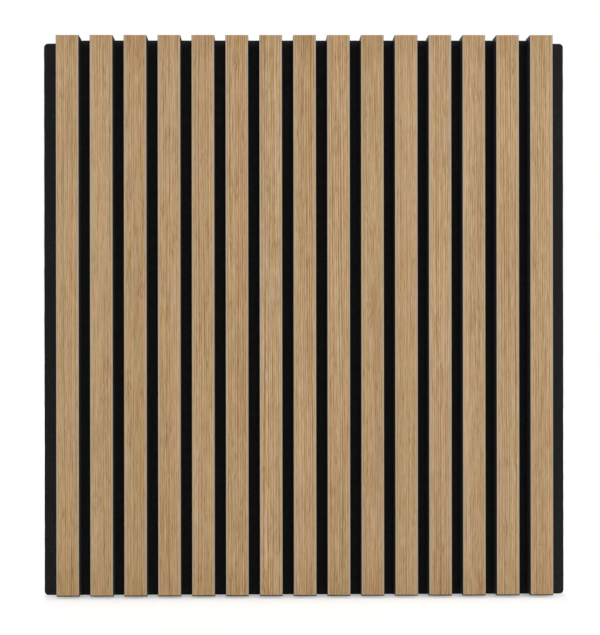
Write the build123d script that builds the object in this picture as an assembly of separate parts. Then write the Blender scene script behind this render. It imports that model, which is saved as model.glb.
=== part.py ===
from build123d import *

import os

# Slatted acoustic wall panel, in millimetres.
# The origin is the centre of the felt's back face, which lies against the wall.
# +Z is up along the slats, +X is to the right of someone facing the panel, and the slats face -Y.

# Slats: a black core with a thin oak veneer on its face, which stops a lip short of the core's lower end
slat_count = 15
slat_width = 27.0
slat_gap = 13.0
slat_length = 662.5
core_thickness = 11.4
core_lip = 1.5
veneer_thickness = 0.6
veneer_edge_radius = 0.4

# Fleece that the slats are laid out on, from just below their upper ends down to the felt's lower edge
fleece_thickness = 0.4
fleece_top_trim = 1.0

# Felt board behind the fleece, wider than the slats and set a little lower
felt_thickness = 9.0
felt_length = 661.0
felt_side_margin = 18.0
felt_drop = 4.6
felt_corner_radius = 5.0
felt_edge_radius = 0.5

# Places worked out from the sizes above
slat_pitch = slat_width + slat_gap
field_width = slat_count * slat_width + (slat_count - 1) * slat_gap
felt_width = field_width + 2 * felt_side_margin
fleece_back = -felt_thickness
core_back = fleece_back - fleece_thickness
veneer_back = core_back - core_thickness
slat_top = felt_length / 2 + felt_drop
slat_bottom = slat_top - slat_length
veneer_length = slat_length - core_lip
veneer_bottom = slat_bottom + core_lip
fleece_top = slat_top - fleece_top_trim
fleece_bottom = felt_edge_radius - felt_length / 2


def felt_board():
    """The backing: a plate with rounded corners and softly cut edges."""
    with BuildPart() as board:
        with BuildSketch(Plane.XZ):
            RectangleRounded(felt_width, felt_length, felt_corner_radius)
        extrude(amount=felt_thickness)
        faces_front_and_back = board.faces().filter_by(Axis.Y)
        fillet(faces_front_and_back.edges(), felt_edge_radius)
    return board.part


def fleece_sheet():
    """A thin sheet as wide as the row of slats, glued to the felt's front."""
    with BuildPart() as sheet:
        with BuildSketch(Plane.XZ.offset(-fleece_back)):
            with Locations((0, fleece_bottom)):
                Rectangle(field_width, fleece_top - fleece_bottom, align=(Align.CENTER, Align.MIN))
        extrude(amount=fleece_thickness)
    return sheet.part


def slat_core():
    """One core, standing on the slats' lower level with its back on the fleece."""
    with BuildPart() as core:
        with BuildSketch(Plane.XY.offset(slat_bottom)):
            with Locations((0, core_back)):
                Rectangle(slat_width, core_thickness, align=(Align.CENTER, Align.MAX))
        extrude(amount=slat_length)
    return core.part


def slat_veneer():
    """One veneer strip: its profile has two eased front corners, and it covers the core's face above the lip."""
    with BuildPart() as veneer:
        with BuildSketch(Plane.XY.offset(veneer_bottom)) as profile:
            with Locations((0, veneer_back)):
                Rectangle(slat_width, veneer_thickness, align=(Align.CENTER, Align.MAX))
            front_corners = profile.vertices().group_by(Axis.Y)[0]
            fillet(front_corners, veneer_edge_radius)
        extrude(amount=veneer_length)
    return veneer.part


os.makedirs("parts", exist_ok=True)
export_step(felt_board(), "parts/felt_backing.step")
export_step(fleece_sheet(), "parts/backing_fleece.step")

core = slat_core()
veneer = slat_veneer()
for number, place in enumerate(GridLocations(slat_pitch, 0, slat_count, 1), start=1):
    export_step(place * core, f"parts/slat_core_{number:02d}.step")
    export_step(place * veneer, f"parts/slat_veneer_{number:02d}.step")
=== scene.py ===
import math

import bmesh
import bpy
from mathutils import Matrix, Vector, noise


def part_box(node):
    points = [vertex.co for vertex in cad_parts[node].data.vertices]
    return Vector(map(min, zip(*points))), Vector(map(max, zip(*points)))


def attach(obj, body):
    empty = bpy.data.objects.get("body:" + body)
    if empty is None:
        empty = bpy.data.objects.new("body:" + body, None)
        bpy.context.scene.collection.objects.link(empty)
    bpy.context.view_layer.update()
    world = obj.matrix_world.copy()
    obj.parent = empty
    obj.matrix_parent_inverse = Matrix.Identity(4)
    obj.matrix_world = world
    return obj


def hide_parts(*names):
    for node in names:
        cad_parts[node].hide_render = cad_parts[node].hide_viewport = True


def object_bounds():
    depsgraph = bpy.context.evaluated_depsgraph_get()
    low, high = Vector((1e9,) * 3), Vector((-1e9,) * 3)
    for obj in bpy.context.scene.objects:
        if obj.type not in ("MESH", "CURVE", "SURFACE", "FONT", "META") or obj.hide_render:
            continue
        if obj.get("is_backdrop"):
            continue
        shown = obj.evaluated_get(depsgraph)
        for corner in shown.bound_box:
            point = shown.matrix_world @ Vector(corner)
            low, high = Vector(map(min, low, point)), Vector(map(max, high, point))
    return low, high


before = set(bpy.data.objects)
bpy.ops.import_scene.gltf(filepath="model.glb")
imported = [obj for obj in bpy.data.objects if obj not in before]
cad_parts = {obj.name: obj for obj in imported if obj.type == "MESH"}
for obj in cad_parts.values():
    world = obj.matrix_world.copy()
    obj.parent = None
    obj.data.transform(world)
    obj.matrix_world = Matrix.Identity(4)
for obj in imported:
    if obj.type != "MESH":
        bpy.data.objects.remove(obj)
cad_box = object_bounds()

# The slatted panel stands on a pale floor and is seen from the front.
# Lengths are metres, or millimetres where a name says so.
MM = 0.001
WHITE = (1.0, 1.0, 1.0, 1.0)

# Places read from the frame
FELT_LOW, FELT_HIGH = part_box("felt_backing")
FLEECE_LOW, FLEECE_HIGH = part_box("backing_fleece")
FIRST_LOW, FIRST_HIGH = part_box("slat_veneer_01")
SECOND_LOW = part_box("slat_veneer_02")[0]
SLAT_PITCH_MM = (SECOND_LOW.x - FIRST_LOW.x) / MM
SLAT_HALF_WIDTH_MM = (FIRST_HIGH.x - FIRST_LOW.x) / 2 / MM
VENEER_MIDDLE_MM = (FIRST_HIGH.z + FIRST_LOW.z) / 2 / MM
VENEER_HALF_LENGTH_MM = (FIRST_HIGH.z - FIRST_LOW.z) / 2 / MM
SLAT_NODES = sorted(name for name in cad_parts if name.startswith("slat_"))

# Camera: left of the panel's middle and nearly square to it, with the lens shifted to frame it
IMAGE_LONG_SIDE_PX = 635
MIDDLE_TO_LENS_AXIS_PX = (-34.52, -6.36)
FOCAL_LENGTH_PX = 636.9
SENSOR_MM = 36.0
CAMERA_PLACE = (-0.0493, -0.773, -0.0058)
CAMERA_TURN_DEG = -0.213
CAMERA_ROLL_DEG = 0.075

# Light: how strong it is all round and overhead, then the soft boxes' names, watts and places
LIGHT_ALL_ROUND = 0.25
OVERHEAD_STRENGTH = 0.58
OVERHEAD_ANGLE_DEG = 6.0
OVERHEAD_PLACE = (0.0, 0.0, 1.0)
SOFT_BOX_SIDE = 2.2
SOFT_BOXES = (
    ("front_box", 34.0, (0.6, -3.5, 1.0)),
    ("left_box", 41.0, (-2.5, -1.4, 0.6)),
    ("right_box", 61.0, (2.5, -1.4, 0.6)),
    ("back_box", 80.0, (-0.8, 3.2, 1.4)),
)

# Floor: a round sheet with a faint glow, which makes it look nearly as white as the backdrop
FLOOR_RADIUS = 2.0
FLOOR_RIM_SIDES = 96
FLOOR_GLOW = 0.285

# Felt board: how it is softened and how far its surface wanders
FELT_CORNER_MM = 5.0
FELT_CORNER_SEGMENTS = 6
FELT_EDGE_MM = 0.5
FELT_EDGE_SEGMENTS = 3
FELT_GRID_MM = 6.0
FELT_EDGE_LOOP_MM = 1.6
FELT_WIDE_LUMP_MM = 14.0
FELT_SMALL_LUMP_MM = 5.0
FELT_SURFACE_WANDER_MM = 0.35
FELT_OUTLINE_WANDER_MM = 0.4

# Fleece: a sheet drawn flat under the slats, bonded at points in rows, and painted lighter near its upper cut
# where light falls into the grooves
FLEECE_GRID_MM = 13.0
FLEECE_EDGE_LOOP_MM = 2.0
FLEECE_EDGE_WAVE_MM = 9.0
FLEECE_EDGE_WANDER_MM = 0.4
BONDING_PITCH_MM = 1.8
TOP_LIGHT_START_MM = 9.0
TOP_LIGHT_FULL_MM = 2.0

# Oak: how far apart the slats lie in the log, and the mean early wood that the rings' shade is balanced about
LOG_STEP = 7.31
MEAN_EARLY_WOOD = 0.36

# Veneer: how far in from a long edge it turns pale, partly with a painted highlight, and then black, and how
# far about an end the painted shade darkens it
PALE_START_MM = 3.4
PALE_FULL_MM = 0.4
BLACK_START_MM = 0.5
BLACK_FULL_MM = 0.15
DARK_BEFORE_END_MM = 50.0
DARK_PAST_END_MM = 6.0

# Meshes: what counts as level, and as lying on a cut
LEVEL_WITHIN = 1e-6
CUT_WITHIN = 1e-7


class Value:
    """A number that changes over a surface. Arithmetic on it adds Math nodes."""

    def __init__(self, finish, socket):
        self.finish = finish
        self.socket = socket

    def maths(self, operation, first, second=None):
        """Adds a Math node for one or two numbers."""
        numbers = {0: first} if second is None else {0: first, 1: second}
        return self.finish.node("ShaderNodeMath", {"operation": operation}, numbers)

    def __add__(self, other):
        return self.maths("ADD", self, other)

    def __radd__(self, other):
        return self.maths("ADD", other, self)

    def __sub__(self, other):
        return self.maths("SUBTRACT", self, other)

    def __rsub__(self, other):
        return self.maths("SUBTRACT", other, self)

    def __mul__(self, other):
        return self.maths("MULTIPLY", self, other)

    def __rmul__(self, other):
        return self.maths("MULTIPLY", other, self)

    def __truediv__(self, other):
        return self.maths("DIVIDE", self, other)

    def __abs__(self):
        return self.maths("ABSOLUTE", self)

    def __round__(self):
        return self.maths("ROUND", self)

    def __floor__(self):
        return self.maths("FLOOR", self)


class Finish:
    """A material in the making: its nodes, and the shader that they feed."""

    def __init__(self, name, constants):
        self.material = bpy.data.materials.new(name)
        self.material.use_nodes = True
        self.tree = self.material.node_tree
        self.shader = self.tree.nodes["Principled BSDF"]
        for socket, number in constants.items():
            self.shader.inputs[socket].default_value = number

    def node(self, kind, settings, inputs, output=0):
        """Adds a node, sets it, then gives its sockets their values or links."""
        made = self.tree.nodes.new(kind)
        for name, setting in settings.items():
            if name == "stops":
                self.set_stops(made.color_ramp, setting)
            else:
                setattr(made, name, setting)
        for socket, value in inputs.items():
            self.feed(made.inputs[socket], value)
        return Value(self, made.outputs[output])

    def set_stops(self, ramp, stops):
        """Gives a ramp its stops, each a position and a colour."""
        while len(ramp.elements) < len(stops):
            ramp.elements.new(0.5)
        for element, (position, colour) in zip(ramp.elements, stops):
            element.position = position
            element.color = (*colour, 1.0)

    def feed(self, socket, value):
        """Links a changing value to a socket, or sets a fixed one on it."""
        if isinstance(value, Value):
            self.tree.links.new(value.socket, socket)
        else:
            socket.default_value = value

    def finish_with(self, **inputs):
        """Links what changes over the surface to the shader's sockets."""
        for name, value in inputs.items():
            self.feed(self.shader.inputs[name.replace("_", " ")], value)
        return self.material

    def place_mm(self):
        """Where a point lies on the panel, as three numbers in millimetres."""
        coordinates = self.node("ShaderNodeTexCoord", {}, {}, "Object")
        split = self.node("ShaderNodeSeparateXYZ", {}, {0: coordinates})
        parts = split.socket.node.outputs
        return [Value(self, part) / MM for part in parts]

    def noise(self, x, y, z, detail=0.0):
        """Soft noise about 0.5, with one lump for each unit of x, y and z."""
        point = self.node("ShaderNodeCombineXYZ", {}, {0: x, 1: y, 2: z})
        return self.node("ShaderNodeTexNoise", {}, {"Vector": point, "Scale": 1.0, "Detail": detail})

    def chance(self, number):
        """A random number from 0 to 1 that is the same wherever number is the same."""
        return self.node("ShaderNodeTexWhiteNoise", {"noise_dimensions": "1D"}, {"W": number})

    def rise(self, value, start, end):
        """0 below start and 1 above end, smooth between them."""
        span = {"From Min": start, "From Max": end}
        return self.node("ShaderNodeMapRange", {"interpolation_type": "SMOOTHSTEP"}, {"Value": value, **span})

    def ramp(self, value, *stops):
        """A colour that runs through the stops as value goes from 0 to 1."""
        return self.node("ShaderNodeValToRGB", {"stops": stops}, {"Fac": value})

    def mix(self, share, first, second):
        """A colour between two colours."""
        return self.node("ShaderNodeMix", {"data_type": "RGBA"}, {0: share, 6: first, 7: second}, 2)

    def tint(self, share, first, second):
        """A colour that is multiplied by a second one, as far as share goes."""
        settings = {"data_type": "RGBA", "blend_type": "MULTIPLY"}
        return self.node("ShaderNodeMix", settings, {0: share, 6: first, 7: second}, 2)

    def bump(self, height, strength, depth):
        """A normal that follows a height, which goes from 0 to depth in metres."""
        inputs = {"Height": height, "Strength": strength, "Distance": depth}
        return self.node("ShaderNodeBump", {}, inputs)


def oak_veneer():
    """Rift-cut oak: narrow growth rings running nearly straight up, pores along them and soft streaks."""
    oak = Finish("oak_veneer", {"Specular IOR Level": 0.25})
    x, _, z = oak.place_mm()
    slat = round(x / SLAT_PITCH_MM)
    across = x - slat * SLAT_PITCH_MM

    # Each slat comes from its own place in the log, leans a little and wanders on its way up
    log = slat * LOG_STEP
    lean = (oak.chance(slat + 0.5) - 0.5) * 0.005
    wander = (oak.noise(z / 240.0, log, 3.7) - 0.5) * 2.2 + (oak.noise(z / 60.0, log, 9.1) - 0.5) * 0.3
    grain = across + wander + z * lean

    def streak(width, length, offset):
        """Soft upright streaks about 0, of a width and length in millimetres."""
        return oak.noise(grain / width, log + offset, z / length) - 0.5

    def strokes(width, length, share, offset):
        """Thin upright strokes in rows, of which a share is there: 1 on a stroke and 0 beside it."""
        row = math.floor(grain / width)
        reach = z / length + 9.0 * oak.chance(row + log + offset)
        number = math.floor(reach)
        along = reach - number
        there = oak.rise(oak.chance(row * 3.7 + number * 5.3 + log + offset), 0.9 - share, 1.0 - share)
        return there * oak.rise(along, 0.0, 0.2) * (1.0 - oak.rise(along, 0.5, 0.9))

    # Growth rings, each starting with darker early wood
    ring_width = 2.3 + 0.6 * oak.chance(slat + 0.75)
    ring = grain / ring_width + 1.6 * streak(9.0, 420.0, 5.0) + 0.8 * streak(3.0, 420.0, 6.0)
    ring_number = math.floor(ring)
    ring_depth = 0.6 + 0.8 * oak.chance(ring_number + slat * 61.0)
    early_wood = ring_depth * (1.0 - oak.rise(ring - ring_number, 0.02, 0.7))

    # Streaks from short flecks to bands nearly as long as the slat
    flecks = streak(0.6, 4.0, 91.0)
    fine = streak(0.7, 15.0, 0.0)
    lines = streak(0.9, 40.0, 11.0)
    long_lines = streak(1.1, 400.0, 23.0)
    bands = streak(11.0, 600.0, 37.0)
    cloud = oak.noise(z / 190.0, log + 29.0, 0.5) - 0.5
    strength = 0.62 + 0.42 * oak.chance(slat + 0.25)
    streaks = 0.2 * flecks + 0.7 * fine + 0.45 * lines + 0.5 * long_lines + 0.2 * bands + 0.2 * cloud
    ring_strength = 0.3 + 0.4 * oak.chance(slat + 0.4)
    slat_tone = 0.57 + 0.06 * oak.chance(slat + 0.6)
    tone = slat_tone + strength * (streaks - ring_strength * (early_wood - MEAN_EARLY_WOOD))

    # Darker pores, vessels and patches of marks, and painted shade that darkens the slats a little towards
    # both ends
    pores = strokes(0.55, 14.0, 0.3, 51.0) * (0.3 + 0.7 * early_wood)
    vessels = strokes(0.8, 70.0, 0.3, 57.0)
    marked = oak.rise(oak.noise(across / 8.0, log + 61.0, z / 40.0), 0.56, 0.68)
    marks = marked * strokes(0.7, 14.0, 0.25, 67.0)
    dark_start = VENEER_HALF_LENGTH_MM - DARK_BEFORE_END_MM
    dark_full = VENEER_HALF_LENGTH_MM + DARK_PAST_END_MM
    painted_end_shade = oak.rise(abs(z - VENEER_MIDDLE_MM), dark_start, dark_full)
    tone = tone - 0.27 * pores - 0.22 * vessels - 0.3 * marks - 0.11 * painted_end_shade

    # Colour: warm to ashen, with a blush in places
    warm = oak.ramp(
        tone,
        (0.0, (0.301, 0.165, 0.055)),
        (0.5, (0.451, 0.286, 0.127)),
        (1.0, (0.643, 0.448, 0.249)),
    )
    ashen = oak.ramp(
        tone,
        (0.0, (0.282, 0.165, 0.061)),
        (0.5, (0.426, 0.286, 0.141)),
        (1.0, (0.607, 0.448, 0.277)),
    )
    hue = oak.rise(streak(1.3, 90.0, 71.0) + 0.6 * streak(4.0, 400.0, 83.0), -0.16, 0.16)
    blush = oak.rise(streak(4.0, 45.0, 95.0) + 0.6 * streak(14.0, 500.0, 97.0), -0.2, 0.2)
    wood = oak.tint(blush, oak.mix(hue, warm, ashen), (1.02, 0.965, 1.01, 1.0))

    # The long edges are sanded paler, with a painted highlight along them, and the black of the core's sides
    # reaches round them
    edges = oak.rise(abs(across), SLAT_HALF_WIDTH_MM - PALE_START_MM, SLAT_HALF_WIDTH_MM - PALE_FULL_MM)
    sanded_and_highlit = oak.mix(0.75 * edges, wood, (0.466, 0.386, 0.28, 1.0))
    painted = oak.rise(abs(across), SLAT_HALF_WIDTH_MM - BLACK_START_MM, SLAT_HALF_WIDTH_MM - BLACK_FULL_MM)
    face = oak.mix(painted, sanded_and_highlit, (0.02, 0.0195, 0.019, 1.0))
    height = tone - 0.6 * pores
    return oak.finish_with(
        Base_Color=face,
        Roughness=0.66 - 0.14 * tone,
        Normal=oak.bump(height, 0.25, 0.25 * MM),
    )


def black_board():
    """Black fibreboard: a dense matt black with paler fibre specks and fine lines from the saw."""
    board = Finish("black_board", {"Specular IOR Level": 0.3})
    x, y, z = board.place_mm()
    specks = board.rise(board.noise(x / 0.5, y / 0.5, z / 0.9, 2.0), 0.56, 0.72)
    cloud = board.noise(x / 7.0, y / 5.0, z / 18.0, 2.0)
    saw_lines = board.noise(x / 0.35, y / 0.3, z / 45.0)
    tone = 0.35 * cloud + 0.4 * saw_lines + 0.45 * specks
    black = board.ramp(
        tone,
        (0.2, (0.0094, 0.0094, 0.0095)),
        (0.6, (0.0204, 0.02, 0.0196)),
        (1.0, (0.0425, 0.04, 0.0374)),
    )
    return board.finish_with(
        Base_Color=black,
        Roughness=0.62 + 0.25 * cloud,
        Normal=board.bump(0.6 * saw_lines + 0.6 * specks, 0.35, 0.2 * MM),
    )


def fibre_layers(cloth, x, y, z, width, length):
    """Fibres laid in four directions: 0 between them, and higher where more of them cross."""
    laid = [
        cloth.noise(x / length, y / width, z / width),
        cloth.noise(x / width, y / width + 17.0, z / length),
        cloth.noise((x + z) / length, y / width + 31.0, (x - z) / width),
        cloth.noise((x + z) / width, y / width + 47.0, (x - z) / length),
    ]
    fibres = 0.0
    for layer in laid:
        fibres = fibres + 0.5 * cloth.rise(layer, 0.58, 0.7)
    return fibres


def black_felt():
    """Dense needle felt: tangled fibres, a slightly clouded black and a soft sheen."""
    felt = Finish("black_felt", {"Specular IOR Level": 0.15, "Sheen Weight": 0.12, "Sheen Roughness": 0.45})
    x, y, z = felt.place_mm()
    fibres = fibre_layers(felt, x, y, z, 0.3, 3.2)
    tufts = felt.noise(x / 1.6, y / 1.6, z / 1.6, 3.0)
    cloud = felt.noise(x / 24.0, y / 24.0, z / 24.0, 3.0)
    tone = 0.35 * fibres + 0.5 * tufts + 0.3 * cloud
    black = felt.ramp(
        tone,
        (0.2, (0.0042, 0.0042, 0.0045)),
        (0.55, (0.0097, 0.0095, 0.01)),
        (1.0, (0.027, 0.026, 0.027)),
    )
    return felt.finish_with(
        Base_Color=black,
        Roughness=0.8 + 0.15 * tufts,
        Normal=felt.bump(0.5 * fibres + 0.8 * tufts, 0.7, 0.6 * MM),
    )


def black_fleece():
    """Thin bonded fleece: fine fibres pressed flat, with small bonding points in rows."""
    fleece = Finish("black_fleece", {"Specular IOR Level": 0.06})
    x, y, z = fleece.place_mm()
    fibres = fibre_layers(fleece, x, y, z, 0.2, 5.0)
    points_x = abs(x / BONDING_PITCH_MM - round(x / BONDING_PITCH_MM))
    points_z = abs(z / BONDING_PITCH_MM - round(z / BONDING_PITCH_MM))
    points = 1.0 - fleece.rise(points_x + points_z, 0.18, 0.34)
    tone = 0.4 * fibres + 0.5 * fleece.noise(x / 9.0, 0.0, z / 9.0, 3.0) - 0.25 * points
    flat = fleece.ramp(
        tone,
        (0.1, (0.0067, 0.0067, 0.0069)),
        (0.5, (0.017, 0.0167, 0.017)),
        (1.0, (0.04, 0.04, 0.041)),
    )
    # Painted light: the fleece turns lighter towards its upper cut, where light falls into the grooves
    upper_cut_mm = FLEECE_HIGH.z / MM
    painted_top_light = fleece.rise(z, upper_cut_mm - TOP_LIGHT_START_MM, upper_cut_mm - TOP_LIGHT_FULL_MM)
    return fleece.finish_with(
        Base_Color=fleece.mix(painted_top_light, flat, (0.03, 0.03, 0.031, 1.0)),
        Roughness=0.75 + 0.2 * fibres,
        Normal=fleece.bump(fibres - 1.2 * points, 0.5, 0.3 * MM),
    )


def finished_piece(name, mesh_in_making, material, smooth=True):
    """Turns a bmesh into a piece of the panel that moves with it."""
    mesh = bpy.data.meshes.new(name)
    bmesh.ops.recalc_face_normals(mesh_in_making, faces=mesh_in_making.faces)
    mesh_in_making.to_mesh(mesh)
    mesh_in_making.free()
    for face in mesh.polygons:
        face.use_smooth = smooth
    piece = bpy.data.objects.new(name, mesh)
    bpy.context.scene.collection.objects.link(piece)
    mesh.materials.append(material)
    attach(piece, "root")
    return piece


def block(low, high):
    """A bmesh box between two corners."""
    made = bmesh.new()
    bmesh.ops.create_cube(made, size=1.0)
    bmesh.ops.scale(made, vec=high - low, verts=made.verts)
    bmesh.ops.translate(made, vec=(low + high) / 2, verts=made.verts)
    return made


def reach_back(edge):
    """How far an edge runs from front to back."""
    return abs(edge.verts[0].co.y - edge.verts[1].co.y)


def soften(mesh, edges, radius, segments):
    """Rounds some edges of a mesh."""
    bmesh.ops.bevel(mesh, geom=edges, offset=radius, offset_type="OFFSET", affect="EDGES", segments=segments,
                    profile=0.5, material=-1)


def cut_across(mesh, axis, places):
    """Cuts the mesh by a plane across an axis at each place."""
    normal = Vector((0, 0, 0))
    normal[axis] = 1.0
    for place in places:
        everything = [*mesh.verts, *mesh.edges, *mesh.faces]
        bmesh.ops.bisect_plane(mesh, geom=everything, dist=CUT_WITHIN, plane_co=normal * place,
                               plane_no=normal)


def even_places(low, high, step, border):
    """Places from low to high, about a step apart, the outer two a border away from each end."""
    inner_low = low + border
    inner_high = high - border
    count = max(1, round((inner_high - inner_low) / step))
    return [inner_low + (inner_high - inner_low) * i / count for i in range(count + 1)]


def felt_board(material):
    """The felt board: rounded corners, crushed edges and a surface that isn't quite flat."""
    board = block(FELT_LOW, FELT_HIGH)
    size = FELT_HIGH - FELT_LOW
    corners = [edge for edge in board.edges if reach_back(edge) > size.y / 2]
    soften(board, corners, FELT_CORNER_MM * MM, FELT_CORNER_SEGMENTS)
    rims = [edge for edge in board.edges if reach_back(edge) < LEVEL_WITHIN]
    soften(board, rims, FELT_EDGE_MM * MM, FELT_EDGE_SEGMENTS)
    border = (FELT_EDGE_MM + FELT_EDGE_LOOP_MM) * MM
    for axis in (0, 2):
        cut_across(board, axis, even_places(FELT_LOW[axis], FELT_HIGH[axis], FELT_GRID_MM * MM, border))
    middle_y = (FELT_LOW.y + FELT_HIGH.y) / 2
    cut_across(board, 1, [middle_y])
    board.normal_update()
    for vertex in board.verts:
        point = vertex.co / MM
        lumps = 0.6 * noise.noise(point / FELT_WIDE_LUMP_MM) + 0.4 * noise.noise(point / FELT_SMALL_LUMP_MM)
        faces_front_or_back = abs(vertex.normal.y)
        inward = FELT_SURFACE_WANDER_MM * max(0.0, 0.5 + lumps) * 0.5 * faces_front_or_back
        outward = FELT_OUTLINE_WANDER_MM * (0.2 + lumps) * (1 - faces_front_or_back)
        vertex.co = vertex.co + vertex.normal * (outward - inward) * MM
    piece = finished_piece("felt_board", board, material)
    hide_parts("felt_backing")
    size.x
    size.z


def fleece_sheet(material):
    """The fleece: drawn flat behind the slats, with a slightly uneven cut along its upper end."""
    sheet = block(FLEECE_LOW, FLEECE_HIGH)
    size = FLEECE_HIGH - FLEECE_LOW
    border = FLEECE_EDGE_LOOP_MM * MM
    for axis in (0, 2):
        cut_across(sheet, axis, even_places(FLEECE_LOW[axis], FLEECE_HIGH[axis], FLEECE_GRID_MM * MM, border))
    for vertex in sheet.verts:
        if vertex.co.z > FLEECE_HIGH.z - MM:
            place = Vector((vertex.co.x / MM / FLEECE_EDGE_WAVE_MM, 0.0, 0.0))
            unevenness = 0.5 + 0.5 * noise.noise(place)
            vertex.co.z -= unevenness * FLEECE_EDGE_WANDER_MM * MM
    piece = finished_piece("fleece_sheet", sheet, material, smooth=False)
    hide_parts("backing_fleece")
    size.x
    size.z


def dress_slats(veneer, core):
    """The slats keep their solids: each core and veneer strip gets its finish."""
    for name in SLAT_NODES:
        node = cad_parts[name]
        material = veneer if "veneer" in name else core
        node.data.materials.clear()
        node.data.materials.append(material)
        "oak_veneer" if "veneer" in name else "black_board"


def pale_floor():
    """A round pale floor that the felt's lower edge stands on."""
    surface = Finish("pale_floor", {
        "Base Color": (0.95, 0.95, 0.95, 1.0),
        "Roughness": 0.9,
        "Specular IOR Level": 0.1,
        "Emission Color": WHITE,
        "Emission Strength": FLOOR_GLOW,
    })
    sheet = bmesh.new()
    bmesh.ops.create_circle(sheet, cap_ends=True, segments=FLOOR_RIM_SIDES, radius=FLOOR_RADIUS)
    bmesh.ops.translate(sheet, vec=(0, 0, FELT_LOW.z), verts=sheet.verts)
    mesh = bpy.data.meshes.new("pale_floor")
    sheet.to_mesh(mesh)
    sheet.free()
    mesh.materials.append(surface.material)
    floor = bpy.data.objects.new("pale_floor", mesh)
    # It takes the panel's shadow, but the panel gets no diffuse light back from it
    floor.visible_diffuse = False
    bpy.context.scene.collection.objects.link(floor)
    floor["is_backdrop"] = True


def white_surroundings():
    """Even white light from all round, in front of a backdrop that is seen as pure white."""
    world = bpy.data.worlds.new("studio")
    bpy.context.scene.world = world
    world.use_nodes = True
    nodes = world.node_tree.nodes
    links = world.node_tree.links
    around = nodes["Background"]
    around.inputs["Color"].default_value = WHITE
    around.inputs["Strength"].default_value = LIGHT_ALL_ROUND
    backdrop = nodes.new("ShaderNodeBackground")
    backdrop.inputs["Color"].default_value = WHITE
    backdrop.inputs["Strength"].default_value = 1.0
    seen = nodes.new("ShaderNodeLightPath")
    choose = nodes.new("ShaderNodeMixShader")
    links.new(seen.outputs["Is Camera Ray"], choose.inputs[0])
    links.new(around.outputs[0], choose.inputs[1])
    links.new(backdrop.outputs[0], choose.inputs[2])
    links.new(choose.outputs[0], nodes["World Output"].inputs["Surface"])


def studio_lamps():
    """A broad lamp straight overhead, and soft boxes in front, beside and behind."""
    lamp = bpy.data.lights.new("broad_lamp", "SUN")
    lamp.energy = OVERHEAD_STRENGTH
    lamp.angle = math.radians(OVERHEAD_ANGLE_DEG)
    hang_lamp(lamp, Vector(OVERHEAD_PLACE))
    for name, watts, place in SOFT_BOXES:
        box = bpy.data.lights.new(name, "AREA")
        box.size = SOFT_BOX_SIDE
        box.energy = watts
        hang_lamp(box, Vector(place))


def hang_lamp(lamp, place):
    """Puts a lamp at a place, shining at the panel's middle and not seen itself."""
    holder = bpy.data.objects.new(lamp.name, lamp)
    holder.location = place
    holder.rotation_euler = place.to_track_quat("Z", "Y").to_euler()
    holder.visible_camera = False
    bpy.context.scene.collection.objects.link(holder)


def set_camera():
    """The camera at the photograph's viewing angle."""
    lens = bpy.data.cameras.new("camera")
    lens.sensor_width = SENSOR_MM
    lens.lens = FOCAL_LENGTH_PX * SENSOR_MM / IMAGE_LONG_SIDE_PX
    lens.shift_x = -MIDDLE_TO_LENS_AXIS_PX[0] / IMAGE_LONG_SIDE_PX
    lens.shift_y = -MIDDLE_TO_LENS_AXIS_PX[1] / IMAGE_LONG_SIDE_PX
    camera = bpy.data.objects.new("camera", lens)
    camera.location = CAMERA_PLACE
    upright = math.radians(90.0)
    camera.rotation_euler = (upright, math.radians(CAMERA_ROLL_DEG), math.radians(CAMERA_TURN_DEG))
    bpy.context.scene.collection.objects.link(camera)
    bpy.context.scene.camera = camera


set_camera()
white_surroundings()
studio_lamps()
pale_floor()
bpy.context.scene.view_settings.view_transform = "Standard"

dress_slats(oak_veneer(), black_board())
fleece_sheet(black_fleece())
felt_board(black_felt())

boxes = {"cad": [list(corner) for corner in cad_box], "visual": [list(corner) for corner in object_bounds()]}
